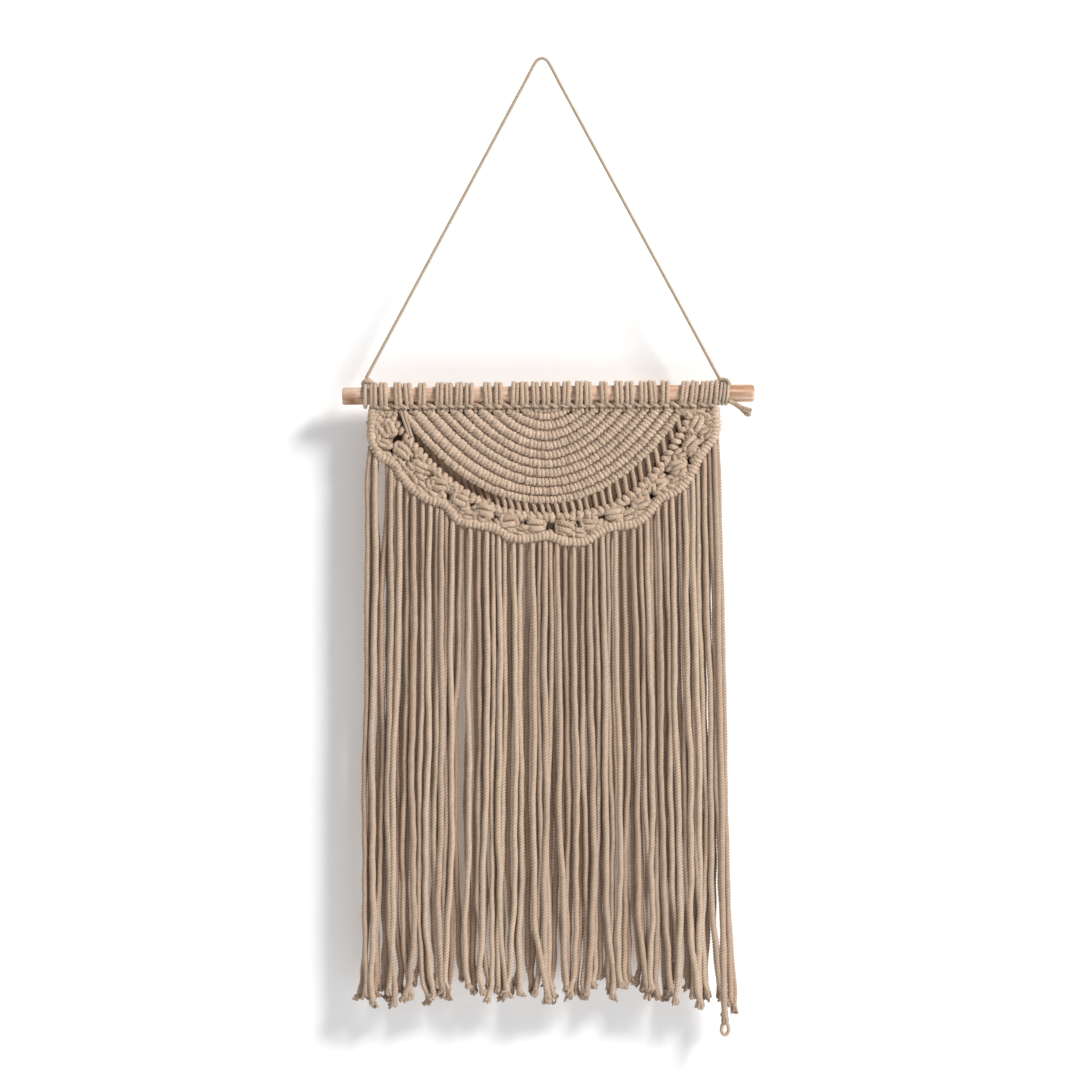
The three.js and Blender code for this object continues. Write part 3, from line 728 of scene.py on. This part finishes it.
def rod():
    """A turned dowel."""
    profile = rod_profile()
    c, s = math.cos(ROD_TILT), math.sin(ROD_TILT)
    middle = at(ROD_CENTRE_X, -rod_lift(ROD_CENTRE_X))
    points, faces = [], []
    for along, radius in profile:
        for k in range(ROD_SIDES):
            y, up = radius * math.cos(TURN * k / ROD_SIDES), radius * math.sin(TURN * k / ROD_SIDES)
            points.append((middle + (along * c - up * s, y, along * s + up * c)) * MM)
    for i in range(len(profile) - 1):
        for k in range(ROD_SIDES):
            here, ahead = i * ROD_SIDES + k, i * ROD_SIDES + (k + 1) % ROD_SIDES
            faces.append((here, ahead, ahead + ROD_SIDES, here + ROD_SIDES))
    mesh = bpy.data.meshes.new("wooden_rod")
    mesh.from_pydata(points, [], faces)
    merge(mesh)
    mesh.shade_smooth()
    placed("wooden_rod", mesh, WOOD, "wood", "rod")


def merge(mesh):
    """Joins points that lie together and turns every face outward."""
    work = bmesh.new()
    work.from_mesh(mesh)
    bmesh.ops.remove_doubles(work, verts=work.verts, dist=0.01 * MM)
    bmesh.ops.recalc_face_normals(work, faces=work.faces)
    work.to_mesh(mesh)
    work.free()


# ---------------- knotted panel


def rod_loops():
    """Lark's head loops: two strands over the rod, side by side."""
    cords = Cords(20)
    shake = cords.random
    for centre in LOOP_CENTRES:
        lean = shake.normal(0, 0.45) + (ASKEW if LOOPS_ASKEW[0] < centre < LOOPS_ASKEW[1] else 0)
        for side in (-1, 1):
            x = centre + side * LOOP_SPACING / 2 + shake.normal(0, 0.2)
            reach = LOOP_REACH + shake.uniform(-0.4, 0.7)
            wrap(
                cords, at(x, -rod_lift(x)), RIGHT, reach, reach,
                radius=LOOP_RADIUS * shake.uniform(0.94, 1.12), lean=-lean, steps=34, turn=CORD_TURN,
                groove=0.2, shelter=OPEN,
            )
    cords.piece("rod_loops", *KNOTTED)


def heading():
    """The cord that the loops' strands are tied to: short twists in front of the loops' feet."""
    cords = Cords(21)
    shake = cords.random
    for x in np.arange(TWISTS_FROM, TWISTS_TO, TWIST_PITCH):
        x += shake.normal(0, 0.5)
        rise = shake.uniform(0.9, 1.6)
        middle = at(x, TWIST_DROP - rod_lift(x) + shake.normal(0, 0.3))
        offsets = ((-4.6, -3.6, rise), (-1.9, -6.0, rise * 0.9), (1.7, -6.4, -rise * 0.7), (4.6, -4.2, -rise))
        radius = TWIST_RADIUS * shake.uniform(0.93, 1.07)
        cords.sweep(through(middle, offsets, 0.8), radius, CORD_TURN, groove=0.16)
        for side in (-1, 1):
            leg = ((side * 2.0, -3.0, 1.0), (side * 2.0, -3.4, -5.5))
            cords.sweep(through(middle, leg, 1.0), 1.9, CORD_TURN)
    cords.sweep(under_rod(HEADING_CORE_DROP, 0.6, 1.5), 3.2, 9.0, groove=PRESSED_GROOVE)
    for drop in HEADING_BACK_DROPS:
        cords.sweep(under_rod(drop, HEADING_BACK_Y, 1.6, inset=1.0), 2.4, 9.0, shelter=BEHIND)
    cords.piece("heading_twists", *KNOTTED)


def fan():
    """Bars side by side, each a row of wraps round a carrying cord."""
    shake = np.random.default_rng(22)
    halves = {"left": Cords(23), "right": Cords(24)}
    arcs = [hanging_arc(edge) for edge in FAN_EDGES]
    for inner, outer in zip(arcs, arcs[1:]):
        middle = (inner + outer) / 2
        for k, centre, tangent in placed_along(middle, WRAP_PITCH):
            across = np.cross(tangent, FRONT)
            half = abs((outer[k] - inner[k]) @ across) / 2
            radius = WRAP_RADIUS * shake.uniform(0.94, 1.06) + WRAP_SWELL * smooth((10 - centre[0]) / 50)
            cords = halves["left" if centre[0] < FAN_CENTRE_X else "right"]
            aside = FRONT * shake.normal(0, 0.18)
            aside = aside + tangent * shake.normal(0, 0.16) + across * shake.normal(0, 0.16)
            half_across = max(0.9, half - radius + WRAP_OVERLAP + shake.uniform(-0.25, 0.35))
            wrap(
                cords, centre + aside, tangent, half_across, BAR_DEPTH + shake.uniform(-0.25, 0.25),
                radius=radius, lean=shake.normal(0.45, 0.14),
            )
        halves["right"].sweep(spaced(middle, 2.0), 2.6, CORE_TURN, groove=PRESSED_GROOVE)
    for name, cords in halves.items():
        cords.piece("fan_" + name, *KNOTTED)


def open_band():
    """Bare strands below the fan and the thin bar that they are tied to."""
    cords = Cords(30)
    shake = cords.random
    fan_edge = hanging_arc(FAN_EDGES[-1])
    thin_bar = hanging_arc(INNER_BAR)
    behind = np.array([OPEN_PITCH / 2, OPEN_BACK_Y, 0])
    for i in range(OPEN_COUNT):
        x = OPEN_FIRST + i * OPEN_PITCH
        shaded = smooth((-25 - x) / 45)
        top = nearest_across(fan_edge, x) + (-0.8, -0.8 + OPEN_SHADED * shaded, 3.2)
        foot = nearest_across(thin_bar, x + OPEN_LEAN) + (0.6, -0.6 + 1.6 * shaded, -1.0)
        middle = (top + foot) / 2 + (shake.normal(0, 0.4), shake.uniform(-1.8, -0.4) + 1.6 * shaded, 0)
        cords.sweep(curve([top, middle, foot], 0.9), 2.2 * shake.uniform(0.94, 1.05), CORD_TURN)
        # The strands behind, and the closing cords below, get painted shade on the side that faces the room.
        back = curve([top + behind, foot + behind], 1.1)
        cords.sweep(back, 2.1, CORD_TURN, tone=0.5, shelter=BEHIND, shade=0.4)
    for share in (0.12, 0.37, 0.62, 0.87):
        between = fan_edge + (thin_bar - fan_edge) * share + (0, CLOSING_Y, 0)
        cords.sweep(spaced(between, 1.8), 2.2, CORE_TURN, tone=0.4, shelter=BEHIND, shade=0.6)
    for _, centre, tangent in placed_along(thin_bar, THIN_PITCH):
        wrap(
            cords, centre + FRONT * shake.normal(0.5, 0.2), tangent, 1.9 * shake.uniform(0.9, 1.1), 2.7,
            radius=2.65 * shake.uniform(0.93, 1.06), lean=0.9 * shake.uniform(0.6, 1.3), groove=0.15,
        )
    cords.sweep(spaced(thin_bar, 1.6), 2.2, 9.0)
    for apart in (0, SLANTING_APART):
        line = curve([at(x + kept * apart, drop, y) for x, kept, drop, y in SLANTING_STRANDS], 0.9)
        cords.sweep(line, 1.5, CORD_TURN, tone=0.9)
    cords.piece("open_band", *KNOTTED)


def square_knot(cords, centre, lean, size):
    """Two half knots, one over the other, with a side loop at each end that is now and then left out."""
    shake = cords.random
    up = np.array([math.sin(lean), 0.0, math.cos(lean)])
    wide = np.array([math.cos(lean), 0.0, -math.sin(lean)])

    def strand(offsets, step, radius, **looks):
        """A strand through points given across, up and to the front of the knot's middle."""
        line = [centre + (x * wide + z * up) * size + front * FRONT for x, z, front in offsets]
        cords.sweep(curve(line, step), radius, CORD_TURN, **looks)

    half = KNOT_HALF_WIDTH + shake.uniform(-0.7, 0.3)
    slope = shake.choice((-1, 1)) * shake.uniform(0.5, 1.6)
    for sign in (1, -1):
        tip, bow, rise = slope + shake.normal(0, 0.5), shake.uniform(-0.2, 0.6), sign * KNOT_BAR_RISE
        over = shake.uniform(3.2, 4.6)
        bar = [
            (-half * 0.7, rise * 0.7 - tip, -3.0), (-half * 0.98, rise * 0.85 - tip, 0.4),
            (-half * 0.55, rise + sign * bow - tip * 0.7, over - 0.5), (0, rise + sign * bow * 1.3, over),
            (half * 0.55, rise + sign * bow + tip * 0.7, over - 0.5), (half * 0.98, rise * 0.85 + tip, 0.4),
            (half * 0.7, rise * 0.7 + tip, -3.0),
        ]
        strand(bar, 0.8, KNOT_BAR_RADIUS * size * shake.uniform(0.9, 1.08), reference=up, groove=KNOT_GROOVE)
    for side in (-1, 1):
        if shake.uniform() < 0.3:
            continue
        slant, tall = shake.normal(0, 1.5), shake.uniform(2.2, 3.6)
        loop = [
            (side * half * 0.5 + slant, tall + 2.0, -1.0), (side * half * 0.95 + slant * 0.8, tall, 2.2),
            (side * (half + 0.9), 0.0, 3.2), (side * half * 0.95 - slant * 0.8, -tall, 2.0),
            (side * half * 0.5 - slant, -tall - 2.0, -1.2),
        ]
        strand(loop, 0.8, KNOT_CORD_RADIUS * size * shake.uniform(0.88, 1.1), groove=KNOT_GROOVE)
    for side in (-1, 1):
        core = ((2.2, 9.0, 0.4), (1.7, 4.0, 2.0), (1.8, -4.0, 1.8), (2.4, -9.0, 0.2))
        strand([(side * x, z, front) for x, z, front in core], 0.9, 1.9)


def hole_reach(point, hole, across, up):
    """Distance from a hole's middle, as a share of the given reaches across and up."""
    return np.hypot((point[..., 0] - hole.x) / across, (point[..., 2] + ROD_DROP + hole.drop) / up)


def puffs(cords, top, foot, tangent):
    """Short bends of cord that fill the band between its knots."""
    shake = cords.random
    for share in PUFF_SHARES:
        centre = top + (foot - top) * share + shake.normal(0, 0.6) * tangent
        in_knot = any(np.linalg.norm(centre - at(*knot)) < KNOT_CLEAR for knot in UPPER_KNOTS + LOWER_KNOTS)
        in_hole = any(
            hole_reach(centre, hole, hole.half_width + HOLE_CLEAR, hole.half_height + HOLE_CLEAR) < 1
            for hole in HOLES
        )
        if in_knot or in_hole:
            continue
        turned = shake.uniform(-1.0, 1.0)
        along = math.cos(turned) * tangent + math.sin(turned) * np.cross(tangent, FRONT)
        across = np.cross(along, FRONT)
        half, front = shake.uniform(2.6, 3.8), FRONT * shake.uniform(2.2, 3.6)
        bend = across * shake.normal(0, 0.9)
        offsets = (
            -along * half - bend, -along * half * 0.75 + front * 0.7 - 0.3 * bend, front + bend,
            along * half * 0.75 + front * 0.7 - 0.3 * bend, along * half - bend,
        )
        radius = PUFF_RADIUS * shake.uniform(0.88, 1.08)
        cords.sweep(through(centre, offsets, 0.8), radius, CORD_TURN, reference=across, groove=KNOT_GROOVE)


def back_off(line, radius):
    """The line, drawn back wherever it would cross a hole."""
    push = np.zeros(len(line))
    for hole in HOLES:
        reach = hole_reach(line, hole, 0.8 * hole.half_width + radius, 0.8 * hole.half_height + radius)
        push = np.maximum(push, smooth((1.25 - reach) / 0.35))
    drawn = line.copy()
    drawn[:, 1] += push * (HOLE_BACK_Y - drawn[:, 1])
    return drawn


def knot_band():
    """The knots between the thin bar and the border, with the strands that lead into them."""
    cords = Cords(31)
    shake = cords.random
    thin_bar = hanging_arc(INNER_BAR)
    edge = border_line()
    for knots, size, front in ((UPPER_KNOTS, 1.0, 0.4), (LOWER_KNOTS, LOWER_KNOT_SIZE, -0.4)):
        for knot in knots:
            centre = at(*knot)
            above = nearest(thin_bar, centre)
            below = nearest(edge, centre)
            slope = (below[0] - above[0]) / (above[2] - below[2])
            lean = -math.atan(slope) * KNOT_FOLLOWS_SLOPE + shake.normal(0, 0.06)
            square_knot(cords, centre + front * FRONT, lean, size=size * shake.uniform(0.95, 1.05))
    for _, foot, tangent in placed_along(edge, FILL_PITCH):
        x = foot[0]
        top = nearest(thin_bar, foot)
        if x < FILL_LEFT or x > FILL_RIGHT or np.linalg.norm(foot - top) > FILL_LONGEST:
            top = at(x - 8 * np.clip(x, -1, 1), HEADING_DROP - rod_lift(x))
        drift = tangent * shake.normal(0, 2.4)
        middle = (top + foot) / 2 + drift
        front = shake.uniform(0.6, 2.6)
        line = curve([top + drift * 0.4, middle + front * FRONT, foot], 1.0)
        cords.sweep(back_off(line, 2.0), FILL_RADIUS, CORD_TURN)
        if shake.uniform() < 0.7:
            puffs(cords, top, foot, tangent)
    cords.piece("square_knots", *KNOTTED)


def backing_strands():
    """Working strands carried along behind the knots."""
    cords = Cords(33)
    shake = cords.random
    thin_bar = hanging_arc(INNER_BAR)
    edge = spaced(border_line(), 1.0)
    for share in np.linspace(0.0, 0.93, BACKING_ROWS):
        line = []
        for foot in edge[::6]:
            top = nearest(thin_bar, foot)
            y = BACKING_Y + shake.uniform(-0.5, 0.5)
            line.append(top + (foot - top) * share + (0, y, shake.normal(0, 0.5)))
        # These take the darker cotton tone and painted shade on the side that faces the room, so the holes
        # between the knots read dark.
        cords.sweep(curve(line, 1.8), FILL_RADIUS, CORE_TURN, tone=0.0, shelter=BEHIND)
    cords.piece("backing_strands", *KNOTTED)


def scalloped_border():
    """The scalloped edge: wraps round a carrying cord."""
    cords = Cords(32)
    shake = cords.random
    line = border_line()
    for _, centre, tangent in placed_along(line, WRAP_PITCH):
        radius = WRAP_RADIUS * shake.uniform(0.98, 1.1)
        front = FRONT * shake.normal(BORDER_FRONT, 0.15)
        wrap(
            cords, centre + front, tangent, BORDER_HALF + shake.uniform(-0.1, 0.2), BORDER_DEPTH,
            radius=radius, lean=shake.normal(0.4, 0.12),
        )
    cords.sweep(spaced(line, 2.0), 2.4, CORE_TURN, groove=PRESSED_GROOVE)
    cords.piece("scalloped_border", *KNOTTED)


# ---------------- fringe


def fringe_roots():
    """The x of each front strand, closer together at each cusp."""
    cusps = [FRINGE_LEFT] + [scallop.cusp[0] for scallop in SCALLOPS[:-1]] + [FRINGE_RIGHT]
    roots = []
    for left, right, scallop in zip(cusps, cusps[1:], SCALLOPS):
        for k in range(scallop.strands):
            u = (k + 0.5) / scallop.strands
            roots.append(left + (right - left) * (u - FRINGE_CROWD * math.sin(TURN * u) / TURN))
    roots[SLIT_STRAND] += SLIT_SHIFT
    return roots


def fringe_strand(cords, edge, x, y, shorter=0.0, end_drop=None, splay=0.0, lean=0.0, wander=1.0):
    """One strand from the border's edge down to its cut end, straight at first and wavier below.

    splay is how far its end stands aside, lean how far it comes back from a root set aside, and
    wander how much it strays.
    """
    shake = cords.random
    root = lowest_across(edge, np.clip(x, ROOT_LEFT + 2.2, ROOT_RIGHT - 1.8)).copy()
    root[0] = np.clip(x, ROOT_LEFT, ROOT_RIGHT)
    share = (x - FRINGE_LEFT) / (FRINGE_RIGHT - FRINGE_LEFT)
    spread = SPREAD_LEFT + (SPREAD_RIGHT - SPREAD_LEFT) * share
    if end_drop is None:
        end_drop = np.interp(x, *zip(*FRINGE_ENDS)) + shake.uniform(-1, 1) * END_UNEVEN - shorter
    z = np.arange(root[2], -ROD_DROP - end_drop + TUFT, -STRAND_STEP)
    down = root[2] - z
    left_over = down[-1] - down
    t = down / down[-1]

    phase = shake.uniform(0, TURN, 5)
    long_wave, wave, ripple = TURN * down / shake.uniform((200, 85, 30), (330, 135, 46))[:, None]
    calm = wander * smooth(down / 60) * (0.45 + 0.8 * t**3)
    aside = (
        1.5 * (np.sin(long_wave + phase[0]) - math.sin(phase[0]))
        + 0.75 * np.sin(wave + phase[1])
        + 0.28 * np.sin(ripple + phase[2])
    )
    depth = 0.8 * np.sin(long_wave + phase[3]) + 0.4 * np.sin(wave + phase[4])
    crossing = shake.normal(0, 3.5) if shake.uniform() < 0.3 else 0.0
    stray = (
        crossing * smooth((down - shake.uniform(60, 260)) / 170)
        + shake.normal(0, 1.2) * t**2.5
        + shake.normal(0, 2.1) * smooth(1 - left_over / 70)
        + shake.normal(0, 1.9) * smooth(1 - left_over / 17) ** 2
    )
    across = root[0] + (x - root[0]) * smooth(down / 30) + spread * t + calm * aside
    across += splay * t**4 + lean * smooth((down - 40) / 80) + wander * stray
    line = np.stack([across, y * smooth(down / 12) + calm * depth, z], axis=1)
    radius = CORD_RADIUS * shake.uniform(0.93, 1.08) * (1 + 0.04 * np.sin(ripple + phase[4]))
    radius = radius * (1 + SLACK_SWELL * smooth(down / 110) + END_SWELL * t**3)
    tone = shake.uniform(0, 1)
    cords.sweep(line, radius, CORD_TURN * shake.uniform(0.94, 1.08), tone=tone, shade=FRINGE_SHADE)
    tuft(cords, line, radius[-1], tone)
    return line[-1]


def tuft(cords, line, radius, tone):
    """The cut end, where the plies come apart, fray and curl."""
    shake = cords.random
    end, below = line[-1], unit(line[-1] - line[-4])
    side = unit(np.cross(below, FRONT))
    start, curl = shake.uniform(0, TURN), side * shake.normal(0, 1.2)
    for lock in range(TUFT_LOCKS):
        angle = start + TURN * (lock + shake.uniform(-0.2, 0.2)) / TUFT_LOCKS
        outward = math.cos(angle) * side + TUFT_FLAT * math.sin(angle) * FRONT
        round_it = -math.sin(angle) * side + TUFT_FLAT * math.cos(angle) * FRONT
        length = TUFT * shake.uniform(0.55, 1.1)
        splay = shake.uniform(0.2, 1.7)
        hook = shake.uniform(-0.6, 2.4)
        unevenness = shake.normal(0, 0.5, 3)
        opening = 0.4 * radius + splay + shake.uniform(0.3, 1.2)
        offsets = [
            -2.5 * below + 0.5 * radius * outward,
            0.3 * length * below + 0.62 * radius * outward + 0.5 * round_it,
            0.7 * length * below + (0.6 * radius + 0.7 * splay) * outward + round_it + 0.4 * curl,
            length * below + (0.5 * radius + splay) * outward + curl + unevenness,
            (length - hook) * below + opening * outward + 1.3 * curl,
        ]
        strand = through(end, offsets, 1.1)
        t = np.linspace(0, 1, len(strand))
        taper = 0.46 * radius * (1 + 0.3 * t - 0.6 * t**5)
        cords.sweep(strand, taper, TUFT_TURN, groove=0.3, tone=tone, shade=FRINGE_SHADE)


def fringe():
    """A front row under the border, and a back row between its strands."""
    edge = border_line()
    roots = fringe_roots()
    shake = np.random.default_rng(40)
    half = len(roots) // 2
    names = "front_left", "front_right", "back_left", "back_right"
    rows = {name: Cords(61 + i) for i, name in enumerate(names)}
    for i, x in enumerate(roots):
        cords = rows["front_left" if i < half else "front_right"]
        y = FRINGE_FRONT_Y + FRINGE_STAGGER * (-1) ** i + shake.uniform(-0.8, 0.8)
        x += shake.normal(0, 0.5)
        wander = CALM_WANDER if i >= EYE_STRAND else 1.0
        if i == EYE_STRAND:
            end = fringe_strand(cords, edge, x, y, end_drop=EYE_TOP_DROP, splay=EYE_SPLAY, wander=wander)
            cords.sweep(through(end, EYE_LOOP, 0.7), EYE_RADIUS, EYE_TURN, tone=0.8)
        else:
            shorter = SHORT_BY if i in SHORT_STRANDS else 0.0
            lean = -SLIT_SHIFT if i == SLIT_STRAND else 0.0
            fringe_strand(cords, edge, x, y, shorter=shorter, lean=lean, wander=wander)
    for i, (left, right) in enumerate(zip(roots, roots[1:])):
        cords = rows["back_left" if i < half else "back_right"]
        lean = SLIT_SHIFT if i == SLIT_STRAND - 1 else 0.0
        y = FRINGE_BACK_Y + shake.uniform(-0.6, 1.0)
        x = (left + right) / 2 - lean + shake.normal(0, 0.5)
        if i == len(roots) - 2:
            fringe_strand(cords, edge, x, y, splay=LAST_SPLAY, wander=CALM_WANDER)
        else:
            fringe_strand(cords, edge, x, y, shorter=shake.uniform(*BACK_SHORTER), lean=lean)
    for name, cords in rows.items():
        cords.piece("fringe_" + name, COTTON, "cotton", "fringe")


# ---------------- stage and light


def stage_material():
    """A pale matte surface, seen from its front only, so that no view is walled off."""
    nodes = Nodes("pale_stage", roughness=1.0, specular=0.0)
    fill_in(nodes.shader, {"Base Color": STAGE_COLOUR})
    mix = nodes.add("MixShader")
    nodes.join(nodes.add("NewGeometry").outputs["Backfacing"], mix.inputs["Fac"])
    nodes.join(nodes.shader.outputs["BSDF"], mix.inputs[1])
    nodes.join(nodes.add("BsdfTransparent").outputs["BSDF"], mix.inputs[2])
    nodes.join(mix.outputs["Shader"], nodes.tree.nodes["Material Output"].inputs["Surface"])
    return nodes.material


def stage_plane(name, corners, material):
    mesh = bpy.data.meshes.new(name)
    mesh.from_pydata(corners, [], [tuple(range(len(corners)))])
    mesh.materials.append(material)
    made = linked(name, mesh)
    return made


def stage():
    """A wall close behind the hanging, which casts no shadow, and a floor far below it."""
    material = stage_material()
    r, y, z = STAGE_REACH, WALL_Y, FLOOR_Z
    wall = stage_plane("wall", [(-r, y, z), (r, y, z), (r, y, r), (-r, y, r)], material)
    wall.visible_shadow = False
    stage_plane("floor", [(-r, -r, z), (r, -r, z), (r, r, z), (-r, r, z)], material)


def area_light(name, place, size, watts, colour):
    data = bpy.data.lights.new(name, "AREA")
    data.shape = "DISK"
    data.size = size
    data.energy = watts
    data.color = colour
    made = linked(name, data)
    made.location = place
    made.rotation_euler = (LIT_CENTRE - place).to_track_quat("-Z", "Y").to_euler()


def lights():
    """A soft key from the upper right, a fainter lamp behind the wall, and an even white world."""
    key = LIT_CENTRE + KEY_DIRECTION.normalized() * KEY_DISTANCE
    area_light("key", key, size=1.7, watts=412.0, colour=(1.0, 0.975, 0.95))
    area_light("behind", Vector((-1.2, 3.0, 0.6)), size=2.0, watts=90.0, colour=(1.0, 0.98, 0.96))
    world = bpy.data.worlds.new("world")
    world.use_nodes = True
    fill_in(world.node_tree.nodes["Background"], {"Color": (*WHITE, 1), "Strength": 0.32})
    bpy.context.scene.world = world
    bpy.context.scene.view_settings.view_transform = "Standard"


# ---------------- the scene

camera()
hanging_cord()
rod()
rod_loops()
heading()
fan()
open_band()
knot_band()
backing_strands()
scalloped_border()
fringe()
stage()
lights()
